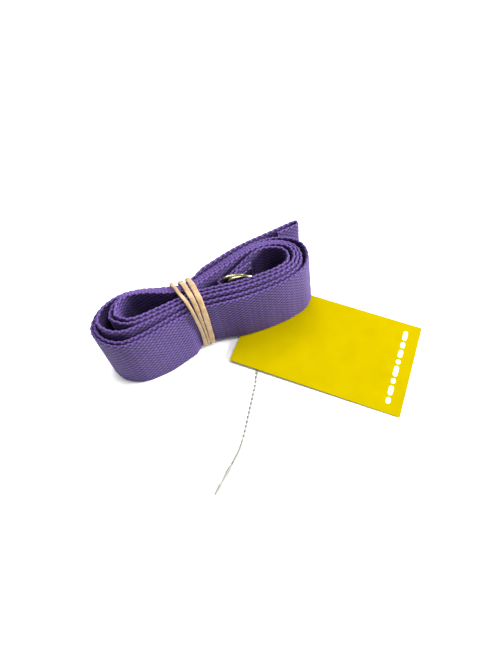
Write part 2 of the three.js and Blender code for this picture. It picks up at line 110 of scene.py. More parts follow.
def spaced(points, step, closed=False):
    """A smooth line through the points, as points a step apart, and their distances along it."""
    if closed:
        points = np.concatenate([points[-3:], points, points[:4]])
    fine = np.linspace(3, len(points) - 4, 4000) if closed else np.linspace(0, len(points) - 1, 4000)
    line = catmull(points, fine)
    run = np.concatenate([[0], np.cumsum(np.linalg.norm(np.diff(line, axis=0), axis=1))])
    count = max(2, round(run[-1] / step)) + 1
    at = np.linspace(0, run[-1], count)
    line = catmull(points, np.interp(at, run, fine))
    return (line[:-1], at[:-1]) if closed else (line, at)


def bend(centre, radius, start, end, count):
    """Points of a bend round a centre, from one angle to another in degrees."""
    angle = np.radians(np.linspace(start, end, count + 1))
    return np.stack([centre[0] + radius * np.cos(angle), centre[1] + radius * np.sin(angle)], 1)


def skin(name, rings, looped=False, attributes=None):
    """An object with one closed skin through equal rings of points, an array of rings by points."""
    rings = np.asarray(rings, float)
    count, sides = rings.shape[:2]
    i = np.arange(count if looped else count - 1)[:, None] * sides
    j = np.arange(sides)[None, :]
    next_i = (i + sides) % (count * sides)
    next_j = (j + 1) % sides
    quads = np.stack([i + j, next_i + j, next_i + next_j, i + next_j], -1).reshape(-1, 4)
    points = rings.reshape(-1, 3)
    a, b, c, d = (points[quads[:, k]] for k in range(4))
    volume = np.einsum("ij,ij->", a + b + c + d, np.cross(c - a, d - b))
    caps = [] if looped else [list(range(sides))[::-1], [(count - 1) * sides + k for k in range(sides)]]
    faces = quads.tolist() + caps
    if volume < 0:
        faces = [face[::-1] for face in faces]
    mesh = bpy.data.meshes.new(name)
    mesh.from_pydata(((points + TO_FRAME) * MM).tolist(), [], faces)
    mesh.polygons.foreach_set("use_smooth", [True] * len(quads) + [False] * len(caps))
    for key, values in (attributes or {}).items():
        attribute = mesh.attributes.new(key, "FLOAT", "POINT")
        attribute.data.foreach_set("value", np.asarray(values, np.float32).ravel())
    mesh.update()
    made = bpy.data.objects.new(name, mesh)
    bpy.context.scene.collection.objects.link(made)
    return made


def joined(name, parts):
    """One object out of several."""
    with bpy.context.temp_override(
        active_object=parts[0], selected_editable_objects=parts, selected_objects=parts
    ):
        bpy.ops.object.join()
    parts[0].name = name
    parts[0].data.name = name
    return parts[0]


def directions(line, looped=False):
    """Unit directions along a line of points."""
    if looped:
        return unit(np.roll(line, -1, 0) - np.roll(line, 1, 0))
    return unit(np.gradient(line, axis=0))


def tube(name, line, radius, sides, looped=False, flat=1.0):
    """A tube round a line. The radius may change along it, and flat is its height to its width."""
    along = directions(line, looped)
    up = np.array([0.0, 0.0, 1.0])
    across = unit(np.cross(along, up))
    lift = np.cross(across, along)
    angle = 2 * np.pi * np.arange(sides) / sides
    radius = np.broadcast_to(radius, len(line))[:, None, None]
    ring = across[:, None] * np.cos(angle)[:, None] + lift[:, None] * (flat * np.sin(angle)[:, None])
    return skin(name, line[:, None] + radius * ring, looped)


# ---------------------------------------------------------------- helpers for materials
def colour(red, green, blue):
    """A screen colour, each part 0 to 255, as the linear RGBA that a shader takes."""
    parts = [c / 255 for c in (red, green, blue)]
    return [c / 12.92 if c <= 0.04045 else ((c + 0.055) / 1.055) ** 2.4 for c in parts] + [1.0]


class Material:
    """A Principled material with a few nodes in front of it."""

    def __init__(self, name, **sockets):
        self.made = bpy.data.materials.new(name)
        self.made.use_nodes = True
        self.tree = self.made.node_tree
        self.shader = self.tree.nodes["Principled BSDF"]
        for key, value in sockets.items():
            self.shader.inputs[key.replace("_", " ")].default_value = value

    def node(self, kind, **settings):
        node = self.tree.nodes.new("ShaderNode" + kind)
        for key, value in settings.items():
            setattr(node, key, value)
        return node

    def link(self, out, socket):
        self.tree.links.new(out, socket)

    def noise(self, scale, detail):
        """Soft patches fixed to the object, about `scale` of them to a metre."""
        noise = self.node("TexNoise")
        noise.inputs["Scale"].default_value = scale
        noise.inputs["Detail"].default_value = detail
        self.link(self.node("TexCoord").outputs["Object"], noise.inputs["Vector"])
        return noise.outputs["Fac"]

    def ramp(self, fac, *stops):
        """A colour that changes with fac. Each stop is a value of fac and its colour."""
        ramp = self.node("ValToRGB")
        elements = ramp.color_ramp.elements
        while len(elements) < len(stops):
            elements.new(0.5)
        for element, (place, shade) in zip(elements, stops):
            element.position = place
            element.color = shade
        self.link(fac, ramp.inputs["Fac"])
        return ramp.outputs["Color"]

    def multiplied(self, first, second):
        mix = self.node("Mix", data_type="RGBA", blend_type="MULTIPLY")
        mix.inputs[0].default_value = 1.0
        self.link(first, mix.inputs[6])
        self.link(second, mix.inputs[7])
        return mix.outputs[2]

    def bump(self, height, distance, strength):
        """Fine relief in the shading alone. The distance is in millimetres."""
        bump = self.node("Bump")
        bump.inputs["Strength"].default_value = strength
        bump.inputs["Distance"].default_value = distance * MM
        self.link(height, bump.inputs["Height"])
        self.link(bump.outputs["Normal"], self.shader.inputs["Normal"])

    def paint(self, shade):
        self.link(shade, self.shader.inputs["Base Color"])

    def on(self, made):
        made.data.materials.clear()
        made.data.materials.append(self.made)
        return made


WHITE = colour(255, 255, 255)


def webbing_material():
    """Woven yarns: the bumps are lighter and the pits between them darker, partly the yarns' own colour
    and partly painted shade in the pits.
    """
    cloth = Material(
        "webbing",
        Roughness=0.82,
        Sheen_Weight=0.18,
        Sheen_Roughness=0.45,
        Sheen_Tint=colour(200, 185, 240),
        Specular_IOR_Level=0.25,
    )
    weave_and_pit_shade = cloth.node("Attribute", attribute_name="weave_and_pit_shade").outputs["Fac"]
    # The near-black low end is painted shade in the pits; the rest is the yarns' own colour.
    threads_and_pit_shade = cloth.ramp(
        weave_and_pit_shade,
        (0.12, colour(5, 2, 17)),
        (0.42, colour(54, 35, 92)),
        (1.0, colour(110, 82, 154)),
    )
    fibre = cloth.noise(2600, 3)
    worn = cloth.ramp(cloth.noise(55, 2), (0.3, colour(225, 225, 225)), (0.7, WHITE))
    fine = cloth.ramp(fibre, (0.3, colour(205, 205, 205)), (0.75, WHITE))
    cloth.paint(cloth.multiplied(cloth.multiplied(threads_and_pit_shade, worn), fine))
    cloth.bump(fibre, 0.12, 0.6)
    return cloth


def steel_material():
    steel = Material("ring_steel", Roughness=0.22, Metallic=1.0)
    patches = steel.noise(160, 3)
    steel.paint(steel.ramp(patches, (0.3, colour(104, 98, 72)), (0.7, colour(150, 146, 120))))
    return steel


def rubber_material():
    rubber = Material(
        "band_rubber",
        Roughness=0.5,
        Subsurface_Weight=0.25,
        Subsurface_Scale=MM,
        Subsurface_Radius=(1.0, 0.6, 0.3),
    )
    patches = rubber.noise(240, 3)
    rubber.paint(rubber.ramp(patches, (0.25, colour(128, 102, 66)), (0.75, colour(168, 140, 98))))
    rubber.bump(rubber.noise(1400, 2), 0.05, 0.5)
    return rubber


def card_material():
    card = Material("tag_card", Roughness=0.42, Specular_IOR_Level=0.0)
    patches = card.noise(90, 3)
    card.paint(card.ramp(patches, (0.3, colour(137, 121, 0)), (0.7, colour(142, 126, 0))))
    return card


def nylon_material(name, shade):
    return Material(name, Roughness=0.5, Specular_IOR_Level=0.15, Base_Color=shade)


WEBBING = webbing_material()
STEEL = steel_material()
RUBBER = rubber_material()
CARD = card_material()
THREAD = Material("thread", Roughness=0.7, Sheen_Weight=0.3, Base_Color=colour(98, 76, 156))
PRINT = Material("tag_print", Roughness=0.5, Base_Color=colour(250, 250, 240))
NYLON = nylon_material("tie_nylon", colour(112, 111, 105))
PALE_NYLON = nylon_material("tie_nylon_pale", colour(126, 125, 120))

# ---------------------------------------------------------------- beaded tie, a free cord
TIE_HOLE = np.array([7.407, 28.446])  # the hole in the card, in plan
TIE_HEIGHT = 0.8
TIE_DIAMETER = 1.5

# Each point is how far the string has gone from the hole, in X and Y, and how far it is above
# TIE_HEIGHT.
TIE_ROUTE = np.array(
    [
        [0, 0, 1.1],
        [-0.3, -0.7, 0.2],
        [-2.2, -4.2, 0],
        [-5.4, -10.4, 0],
        [-9.0, -17.2, 0],
        [-13.0, -24.2, 0],
        [-17.6, -29.5, 0],
        [-20.6, -34.8, 0],
        [-23.2, -39.6, 0],
        [-26.2, -44.3, 0],
        [-29.3, -49.0, 0],
        [-32.2, -53.4, 0],
        [-35.0, -57.8, 0],
        [-37.7, -61.8, 0],
        [-40.2, -65.2, 0],
        [-43.2, -68.6, 0],
        [-46.8, -71.8, 0],
    ]
)
BEAD_PITCH = 2.43
BEAD_STEPS = 12  # points along the string for each bead
BEADED_LENGTH = 74.0  # from the hole
BARE_RADIUS = 0.54
THIN_RADIUS = 0.28  # between the beads
THICKENS_OVER = 1.5  # the length in which the string gets its bare radius after the last bead

# Distance from the string's end and half the width, where the outline of the barb turns.
BARB_OUTLINE = np.array(
    [
        [0, 0.54],
        [2.0, 0.56],
        [2.8, 0.85],
        [4.2, 0.9],
        [7.0, 0.72],
        [10.0, 0.5],
        [11.0, 0.46],
        [11.8, 0.82],
        [13.2, 0.8],
        [15.6, 0.56],
        [16.8, 0.4],
        [17.2, 0.2],
    ]
)
BARB_HEIGHT = 0.6  # of its middle
BARB_FLATNESS = 0.55  # its thickness to its width


def beaded_string():
    """The string with its row of beads, and its bare length before the barb."""
    line, run = spaced(TIE_ROUTE + np.append(TIE_HOLE, TIE_HEIGHT), BEAD_PITCH / BEAD_STEPS)
    from_bead = np.abs((run / BEAD_PITCH + 0.5) % 1 - 0.5) * BEAD_PITCH
    bead = np.sqrt(np.maximum((TIE_DIAMETER / 2) ** 2 - from_bead**2, 0))
    bead = np.where(run < BEADED_LENGTH, bead, 0)
    past_beads = smooth((run - BEADED_LENGTH) / THICKENS_OVER)
    thread = THIN_RADIUS + (BARE_RADIUS - THIN_RADIUS) * past_beads
    made = tube("tag_tie_string_beaded", line, np.maximum(bead, thread), 12)
    return made, line, run[-1]


string, string_line, string_length = beaded_string()


def barb_piece():
    """The flat end with its two steps, which catch in the head when the loop is closed."""
    along = unit(string_line[-1] - string_line[-8])
    line = string_line[-1] + BARB_OUTLINE[:, :1] * along
    line[:, 2] = BARB_HEIGHT
    return tube("tag_tie_barb_flat", line, BARB_OUTLINE[:, 1], 14, flat=BARB_FLATNESS)


barb = barb_piece()
for piece, node, nylon in (
    (string, "tag_tie_string", NYLON),
    (barb, "tag_tie_barb", PALE_NYLON),
):
    nylon.on(piece)
    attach(piece, "hank")
    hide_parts(node)

# ---------------------------------------------------------------- the strap's winding
# One lap runs from the back of the waist round the left lobe, the front of the waist and the
# right lobe. Each row holds a station on the outermost lap, a point further in that the laps
# inside it are stacked towards, and how far the lower edge spreads outwards beyond its lean.
STATIONS = np.array(
    [
        [-33, 35.3, -33, 28.1, 0],  # back of the waist
        [-44, 37.3, -42.5, 30.3, 0.3],
        [-54, 40.4, -53, 33.5, 0.6],
        [-63, 41.1, -61, 34.5, 0.9],
        [-71, 38.7, -66.2, 32.2, 1.6],
        [-77.5, 33.6, -68.7, 29.8, 2.3],
        [-80.8, 26.2, -69, 26.3, 2.1],  # end of the left lobe
        [-77.8, 18.5, -67.2, 23.0, 1.9],
        [-71, 13.4, -64.4, 21.3, 1.2],
        [-62.3, 12.9, -59.4, 21.2, 1.2],
        [-51.5, 15.1, -50, 22.9, 1.9],
        [-42, 17.3, -41.8, 25.0, 2.2],
        [-33, 18.7, -33, 26.1, -1.9],  # front of the waist
        [-24, 18.3, -24, 25.6, -1.1],
        [-10, 16.8, -10, 24.2, 0],
        [4, 16.9, 3, 23.8, 0.3],
        [16, 18.7, 10.9, 24.1, 0.6],
        [24.2, 22.3, 16.1, 26.7, 1.1],
        [28.4, 28.5, 17.6, 30.6, 1.5],
        [28.6, 34.8, 16.8, 34.2, 1.5],  # end of the right lobe
        [25.1, 40.1, 14.1, 37.0, 1.2],
        [17.6, 44.0, 9.3, 38.9, 0.6],
        [8, 45.0, 3.2, 38.7, 0.3],
        [-1, 43.8, -4, 36.2, 0],
        [-10.5, 41.0, -12, 33.2, 0],
        [-22, 37.1, -22.5, 30.2, 0],
        [-33, 33.6, -33, 26.4, 0],
    ]
)
LAP_PITCH = 1.68
LAST_LAP = 4
LAST_LAP_STATIONS = 22  # the last lap ends in the right lobe, where it leaves for the rings
SPANS = len(STATIONS) - 1

# Daylight between laps: which lap it lies inside of, the station at its middle, how many stations
# it fades over and its greatest width.
GAPS = [
    (0, 19, 3.4, 2.3),
    (1, 8, 3.2, 2.0),
    (2, 6.1, 3.5, 4.4),
    (3, 6.2, 2.6, 0.9),
    (3, 19.2, 3.4, 1.9),
]

# Height of the upper edge on each lap at the back waist, the left lobe's back and end, the front
# waist and the right lobe.
HEIGHT_AT = np.array([0, 0.1, 0.23, 0.48, 0.73])
UPPER_EDGE = np.array(
    [
        [38.3, 38.2, 38.0, 38.4, 40.7],
        [39.4, 39.6, 38.7, 40.0, 41.2],
        [40.8, 41.8, 42.5, 42.2, 42.0],
        [42.0, 43.2, 43.4, 42.8, 42.5],
        [42.7, 44.5, 44.4, 43.1, 43.0],
    ]
)
FOOT_LIFT = 2.8  # the card and the band under the hank hold the lower edges up by this much
LIFT_FROM_X = -58.0  # where the lift starts
LIFT_REACH = 20.0  # and how far to the right of there it is whole
WAIST_LIFT = 0.8  # the band draws the lower edges up a little more
WAIST_X = -33.0
WAIST_REACH = 6.0
LESS_SPREAD = 0.05  # share of the lower edge's spread that each lap further in lacks
SETTLING = 0.3  # how far the lower edges sag where nothing holds them up

HEM_LENGTH = 11.0
HEM_RADIUS = 1.3
HEM_HEADING = 8.0
HEM_FOLD = np.array([30.8, 49.05])
TAIL_TOP = 40.8
TAIL_ROUTE = np.array(
    [
        [26, 49.8],
        [20, 48.9],
        [14, 48.05],
        [8, 47.25],
        [2, 46.35],
        [-4, 45.15],
        [-10.5, 43.3],
        [-16, 41.5],
        [-22, 39.5],
    ]
)

WIRE = 1.9
WELD_SWELL = 0.07  # of the wire's radius, where its ends meet in the bar
WELD_REACH = 1.2
RING_BAR = 37.2
RING_DEPTH = 18.0  # from the bar's middle line to the bow's
RING_CORNER = 2.5
RING_TOP = 42.5
FAR_RING_DROP = 0.7
RING_HEADING = -3.0
FAR_BAR = np.array([-15.6, 29.35])
NEAR_BAR = np.array([-13.3, 26.95])
LOOP_PLAY = 0.2
LOOP_RADIUS = WIRE / 2 + LOOP_PLAY + WEB_THICKNESS / 2
FAR_WRAP = (98, 205)  # where the loop lies round each bar, from one angle to another
NEAR_WRAP = (235, 375)
EDGE_UNDER_WIRE = 1.1  # from the wire down to the loop's upper edge
NEAR_BAR_EDGE = RING_TOP - WIRE - EDGE_UNDER_WIRE
FAR_BAR_EDGE = NEAR_BAR_EDGE - FAR_RING_DROP
LOOP_WIDTH = 34.2
TO_RINGS = np.array([[2.6, 37.2], [-1, 36.2], [-5, 34.7], [-9.2, 32.9], [-12.5, 31.45]])
SEWN_BACK = np.array([[-10.6, 29.55], [-8.7, 31.45], [-5, 32.9], [-1, 34.4], [1.2, 35.1]])


def heading(degrees):
    return np.array([math.cos(math.radians(degrees)), math.sin(math.radians(degrees))])


def windings():
    """The middle line of the wound laps: its plan, the upper edge's height and the foot's spread."""
    count = np.arange(LAST_LAP * SPANS + LAST_LAP_STATIONS)
    lap = np.minimum(count // SPANS, LAST_LAP)
    station = count - lap * SPANS
    outer = STATIONS[station, :2]
    inward = unit(STATIONS[station, 2:4] - outer)
    step = 0.003
    ahead = catmull(STATIONS[:, :2], np.minimum(station + step, SPANS))
    behind = catmull(STATIONS[:, :2], np.maximum(station - step, 0))
    along = unit(ahead - behind)
    squareness = np.abs(inward[:, 0] * along[:, 1] - inward[:, 1] * along[:, 0])

    # How deep each lap lies inside the outermost one, measured square to the webbing.
    depth = lap * LAP_PITCH
    for after, at, reach, width in GAPS:
        away = np.abs(station - at) / reach
        open_here = (lap > after) & (away < 1)
        depth = depth + np.where(open_here, width * (1 + np.cos(np.pi * away)) / 2, 0)
    place = outer + inward * (depth / squareness)[:, None]

    # The upper edge's height eases from one given height to the next, counted in laps.
    keys = (np.arange(LAST_LAP + 1)[:, None] + HEIGHT_AT).ravel()
    heights = UPPER_EDGE.ravel()
    turn = np.clip(count / SPANS, keys[0], keys[-1])
    i = np.clip(np.searchsorted(keys, turn, side="right") - 1, 0, len(keys) - 2)
    share = smooth((turn - keys[i]) / (keys[i + 1] - keys[i]))
    spread = STATIONS[station, 4] * (1 - LESS_SPREAD * lap)
    return place, heights[i] + (heights[i + 1] - heights[i]) * share, spread


def strap_line():
    """The strap's middle line: plan, the upper edge's height, the width and the foot's spread."""
    fold = bend(HEM_FOLD, HEM_RADIUS, HEM_HEADING - 90, HEM_HEADING + 90, 6)
    cut_edge = fold[:1] - HEM_LENGTH * heading(HEM_HEADING)
    tail = np.concatenate([cut_edge, fold, TAIL_ROUTE])
    laps, lap_tops, lap_spread = windings()
    gathering = smooth(np.arange(1, len(TO_RINGS) + 1) / len(TO_RINGS))
    round_far = bend(FAR_BAR, LOOP_RADIUS, *FAR_WRAP, 5)
    round_near = bend(NEAR_BAR, LOOP_RADIUS, *NEAR_WRAP, 6)
    near_count = len(round_near) + len(SEWN_BACK)
    plan = np.concatenate([tail, laps, TO_RINGS, round_far, round_near, SEWN_BACK])
    tops = np.concatenate(
        [
            np.full(len(tail), TAIL_TOP),
            lap_tops,
            lap_tops[-1] + (FAR_BAR_EDGE - lap_tops[-1]) * gathering,
            np.full(len(round_far), FAR_BAR_EDGE),
            np.full(near_count, NEAR_BAR_EDGE),
        ]
    )
    widths = np.concatenate(
        [
            np.full(len(tail) + len(laps), WEB_WIDTH),
            WEB_WIDTH + (LOOP_WIDTH - WEB_WIDTH) * gathering,
            np.full(len(round_far) + near_count, LOOP_WIDTH),
        ]
    )
    spread = np.zeros(len(plan))
    spread[len(tail) : len(tail) + len(laps)] = lap_spread
    return plan, tops, widths, spread


# ---------------------------------------------------------------- the strap
COLUMN = 1.55  # from one raised thread to the next along the webbing
COLUMN_STEPS = 4  # points along the webbing for each column
ROW = 1.25  # from one raised thread to the next across the webbing
ROW_STEPS = 2
RELIEF = 0.16
RIB_SHADE = 0.08
# Along the upper edge and the foot the bumps are lighter, with painted shade between them.
EDGE_SHADE = 0.35
EDGE_SHADE_CHANGE = 0.45
FACE = 0.6  # from the webbing's middle to the middle of its bumps
EDGE_NOTCH = 0.1  # how far the upper edge dips between two columns
EDGE_STEPS = 4


def strap_edges():
    """Points of the upper edge and of the foot under them, the sideways directions at them, and
    how far along the webbing each one is."""
    plan, tops, widths, spread = strap_line()
    upper = np.column_stack([plan, tops])
    lower = np.column_stack([plan, tops - widths])
    fine = np.linspace(0, len(plan) - 1, 24 * len(plan))
    rough = catmull(upper, fine)
    run = np.concatenate([[0], np.cumsum(np.linalg.norm(np.diff(rough[:, :2], axis=0), axis=1))])
    count = round(run[-1] / (COLUMN / COLUMN_STEPS))
    distance = np.linspace(0, run[-1], count)
    at = np.interp(distance, run, fine)
    high = catmull(upper, at)
    bottom = catmull(lower, at)[:, 2] - SETTLING
    near_waist = np.exp(-(((high[:, 0] - WAIST_X) / WAIST_REACH) ** 2))
    lifted = smooth((high[:, 0] - LIFT_FROM_X) / LIFT_REACH)
    bottom = np.maximum(bottom, FOOT_LIFT * lifted + WAIST_LIFT * near_waist)
    along = unit(np.gradient(high[:, :2], axis=0))
    side = np.column_stack([-along[:, 1], along[:, 0], np.zeros(count)])
    drop = ((high[:, 2] - bottom) / WEB_WIDTH)[:, None]
    i = np.minimum(at.astype(int), len(plan) - 2)
    outwards = spread[i] + (spread[i + 1] - spread[i]) * smooth(at - i)
    foot_plan = high[:, :2] + LEAN * drop - side[:, :2] * outwards[:, None] * drop
    return high, np.column_stack([foot_plan, bottom]), side, distance


def strap_piece():
    """The whole webbing, with every crossing of its yarns raised or sunk in the surface, and painted
    shade in the pits between them.
    """
    high, foot, side, distance = strap_edges()
    down = unit(foot - high)
    reach = np.linalg.norm(foot - high, axis=1)[:, None]
    rows = round((WEB_WIDTH - 2 * FACE) / (ROW / ROW_STEPS))
    share = np.linspace(1, 0, rows + 1)
    turn = np.pi * np.arange(1, EDGE_STEPS) / EDGE_STEPS
    phase = np.pi * distance[:, None] / COLUMN
    across = np.pi * share * rows / ROW_STEPS
    relief = np.cos(phase) * np.cos(across)

    # The section's outline goes up one face, over the upper edge, down the other face and under
    # the foot. Each of its points lies some way down from the upper edge, and off the middle.
    face_down = FACE + (reach - 2 * FACE) * share
    top_down = FACE * (1 - np.sin(turn)) - EDGE_NOTCH * np.abs(np.sin(phase)) * np.sin(turn)
    foot_down = reach - FACE * (1 - np.sin(turn))
    face_off = FACE + RELIEF * relief
    back_off = RELIEF * relief[:, ::-1] - FACE
    top_off = FACE * np.cos(turn) + RELIEF * np.cos(phase)
    foot_off = -FACE * np.cos(turn) * np.ones_like(reach)
    way_down = np.concatenate([face_down, top_down, face_down[:, ::-1], foot_down], 1)
    off = np.concatenate([face_off, top_off, back_off, foot_off], 1)
    points = high[:, None] + way_down[..., None] * down[:, None] + off[..., None] * side[:, None]

    # The shade below is the yarns' own pattern, with painted shade in the pits and, along the upper
    # edge and the foot, between the bumps.
    rib = RIB_SHADE * np.cos(phase)
    edge = EDGE_SHADE + EDGE_SHADE_CHANGE * np.cos(2 * phase) * np.ones_like(turn)
    shade = np.concatenate([relief + rib, edge, rib - relief[:, ::-1], edge], 1)
    made = skin("webbing_strap_woven", points, attributes={"weave_and_pit_shade": 0.5 + 0.5 * shade})
    return made, distance[-1]


strap, strap_length = strap_piece()
WEBBING.on(strap)
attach(strap, "hank")
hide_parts("webbing_strap")


# ---------------------------------------------------------------- D-rings
def ring_outline():
    """The middle line of the wire: the bar on the left, the bow on the right."""
    half = (RING_BAR + WIRE) / 2
    straight = half - RING_CORNER
    bar = np.column_stack([np.zeros(24), np.linspace(-straight, straight, 24)])
    corner = bend((RING_CORNER, straight), RING_CORNER, 180, 90, 8)
    angle = np.radians(np.linspace(90, -90, 61))
    bow_x = RING_CORNER + (RING_DEPTH - RING_CORNER) * np.cos(angle)
    bow = np.column_stack([bow_x, half * np.sin(angle)])
    return np.concatenate([bar, corner[1:], bow[1:-1], (corner * [1, -1])[::-1][:-1]])


def on_edge(plan, place, degrees, upper_edge, height):
    """Stands flat points on edge in the webbing's lean, with their x along a heading."""
    up = unit(np.array([-LEAN[0], -LEAN[1], WEB_WIDTH]))
    along = np.append(heading(degrees), 0.0)
    along = unit(along - up * (along @ up))
    down = (upper_edge - height) / WEB_WIDTH
    middle = np.append(place + LEAN * down, height)
    return middle + plan[:, :1] * along + plan[:, 1:] * up, np.cross(along, up)


def facing_tube(name, line, radius, facing, sides, looped=False):
    """A tube round a line that lies in a plane, given the plane's normal."""
    out = np.cross(directions(line, looped), facing)
    angle = 2 * np.pi * np.arange(sides)[:, None] / sides
    ring = out[:, None] * np.cos(angle) + facing * np.sin(angle)
    return skin(name, line[:, None] + radius[:, None, None] * ring, looped)


def d_ring(name, bar, drop):
    height = RING_TOP - drop - WIRE - RING_BAR / 2
    outline = ring_outline()
    line, facing = on_edge(outline, bar, RING_HEADING, NEAR_BAR_EDGE - drop, height)
    weld = np.exp(-((outline[:, 1] / WELD_REACH) ** 2)) * (outline[:, 0] < 0.1)
    radius = WIRE / 2 * (1 + WELD_SWELL * weld)
    return STEEL.on(facing_tube(name + "_wire", line, radius, facing, 16, looped=True))


for node, body, bar, drop in (
    ("d_ring_far", "far_ring", FAR_BAR, FAR_RING_DROP),
    ("d_ring_near", "near_ring", NEAR_BAR, 0.0),
):
    ring = d_ring(node, bar, drop)
    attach(ring, body)
    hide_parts(node)

# ---------------------------------------------------------------- rubber band
# The X and the width of each of its three turns at the front's foot, half way up, at the front's
# upper edge, on the crown, at the back's upper edge and at the back's foot.
BAND_TURNS = [
    ([-31.3, -32.2, -34.5, -37.8, -39.2, -35.8], [2.1, 1.9, 1.6, 1.6, 1.7, 1.9]),
    ([-29.5, -30.4, -32.1, -33.7, -34.7, -32.9], [1.2, 1.3, 2.0, 2.4, 2.6, 1.9]),
    ([-27.4, -28.1, -29.4, -30.4, -30.9, -29.8], [2.4, 2.7, 2.6, 2.5, 2.5, 1.9]),
]
BAND_STAGES = [3.8, 20, 38.6]  # heights at which the band lies against the webbing
BAND_PINCH = 1.35  # how far in the band draws the front's lower edge
BAND_CROWN = [[18.9, 41.0], [21.8, 43.4], [27.0, 44.2], [31.2, 43.1], [34.5, 40.5]]  # Y and Z
CROWN_Y = 27
BAND_FRONT_Y = 17
BAND_BACK_Y = 37
WAIST_FRONT_Y = 18.7
WAIST_BACK_Y = 35.5
BAND_UNDER = 2.5
BAND_CROSSING = 1.7
CORNER_RISE = 0.1
BAND_THICKNESS = 0.7
BAND_OFF = WEB_THICKNESS / 2 + 0.33 + BAND_THICKNESS / 2


def front_face(x, z):
    """Where the band's middle line stands off the outermost webbing at the front."""
    down = (WEB_WIDTH - z) / WEB_WIDTH
    upper = x - LEAN[0] * down
    y = WAIST_FRONT_Y - 0.11 * max(0, WAIST_X - upper) - 0.03 * max(0, upper - WAIST_X)
    return y + (LEAN[1] + BAND_PINCH) * down - BAND_OFF


def back_face(x, z):
    """The same at the back."""
    down = (WEB_WIDTH - z) / WEB_WIDTH
    upper = x - LEAN[0] * down
    y = WAIST_BACK_Y + 0.16 * max(0, WAIST_X - upper) + 0.4 * max(0, upper - WAIST_X)
    return y + LEAN[1] * down + BAND_OFF


def band_line():
    """The band's middle line with its width at each point, as one endless run of three turns."""
    points = []
    for i, turn in enumerate(np.array(BAND_TURNS).transpose(0, 2, 1)):
        # Each row of turn is an X and a width.
        foot, middle, front, crown, back, back_foot = turn
        next_foot = np.array(BAND_TURNS[(i + 1) % 3])[:, 0]
        under = BAND_CROSSING if i == 2 else BAND_UNDER
        for z, (x, width) in zip(BAND_STAGES, (foot, middle, front)):
            points.append([x, front_face(x, z), z, width])
        for y, z in BAND_CROWN:
            if y < CROWN_Y:
                share = (y - BAND_FRONT_Y) / (CROWN_Y - BAND_FRONT_Y)
                x, width = front + (crown - front) * share
            else:
                share = (y - CROWN_Y) / (BAND_BACK_Y - CROWN_Y)
                x, width = crown + (back - crown) * share
            points.append([x, y, z, width])
        for z in reversed(BAND_STAGES):
            x, width = back + (back_foot - back) * (WEB_WIDTH - z) / WEB_WIDTH
            points.append([x, back_face(x, z), z, width])
        start = back_face(back_foot[0], BAND_STAGES[0])
        end = front_face(next_foot[0], BAND_STAGES[0])
        for share in (0.04, 0.12, 0.36, 0.64, 0.88, 0.96):
            x, width = back_foot + (next_foot - back_foot) * share
            rise = CORNER_RISE if share < 0.1 or share > 0.9 else 0
            points.append([x, start + (end - start) * share, under + rise, width])
    return np.array(points)


def squared(wave):
    """A cosine or sine with fuller corners, which makes a rounded rectangle of a circle."""
    return np.sign(wave) * np.abs(wave) ** 0.6


def rubber_band():
    """The band as one strand of changing width, a rounded rectangle in section."""
    line, run = spaced(band_line(), 0.5, closed=True)
    middle, width = line[:, :3], line[:, 3]
    along = directions(middle, looped=True)
    wide = unit(np.array([1.0, 0, 0]) - along[:, :1] * along)
    thick = np.cross(wide, along)
    sides = 16
    angle = 2 * np.pi * (np.arange(sides) + 0.5) / sides
    ripple = 1 + 0.05 * np.sin(run / 3.1) + 0.03 * np.sin(run / 1.27)
    half_width = (width * ripple / 2)[:, None, None]
    rings = (
        middle[:, None]
        + wide[:, None] * (squared(np.cos(angle))[:, None] * half_width)
        + thick[:, None] * (squared(np.sin(angle))[:, None] * BAND_THICKNESS / 2)
    )
    return RUBBER.on(skin("rubber_band_strands", rings, looped=True))


band = rubber_band()
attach(band, "hank")
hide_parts("rubber_band")

# ---------------------------------------------------------------- stitching
THREAD_RADIUS = 0.2
STITCH_OFF = WEB_THICKNESS / 2 + THREAD_RADIUS + 0.3
STITCH_LENGTH = 2.4
STITCH_GAP = 0.5
STITCH_PLACES = np.array([0.1, 0.2, 0.5, 0.8, 0.9])  # points of one stitch, as shares of its run
STITCH_RADII = THREAD_RADIUS * np.array([0.4, 1, 1.1, 1, 0.4])
HEM_SEAM = (7, 31)  # along the webbing, and across it
LOOP_SEAM = (5.5, 29)
LOOP_SEAM_SHIFT = np.array([-1.4, -0.5])  # from the fourth point of the sewn-back end


def box_stitch(name, width, height, middle, degrees):
    """A seam sewn round a rectangle, stitch by stitch, each one thinner at both its ends."""
    corners = np.array([[-1, -1], [1, -1], [1, 1], [-1, 1]]) * [width / 2, height / 2]
    stitches = []
    for start, end in zip(corners, np.roll(corners, -1, 0)):
        length = np.linalg.norm(end - start)
        count = max(1, round(length / (STITCH_LENGTH + STITCH_GAP)))
        for i in range(count):
            share = (i + STITCH_PLACES) / count
            flat = start + share[:, None] * (end - start)
            line, facing = on_edge(flat, middle, degrees, TAIL_TOP, TAIL_TOP - WEB_WIDTH / 2)
            stitches.append(facing_tube(name, line, STITCH_RADII, facing, 6))
    return THREAD.on(joined(name, stitches))


def beside_webbing(place, degrees, side):
    normal = heading(degrees + 90)
    return place + side * STITCH_OFF * normal


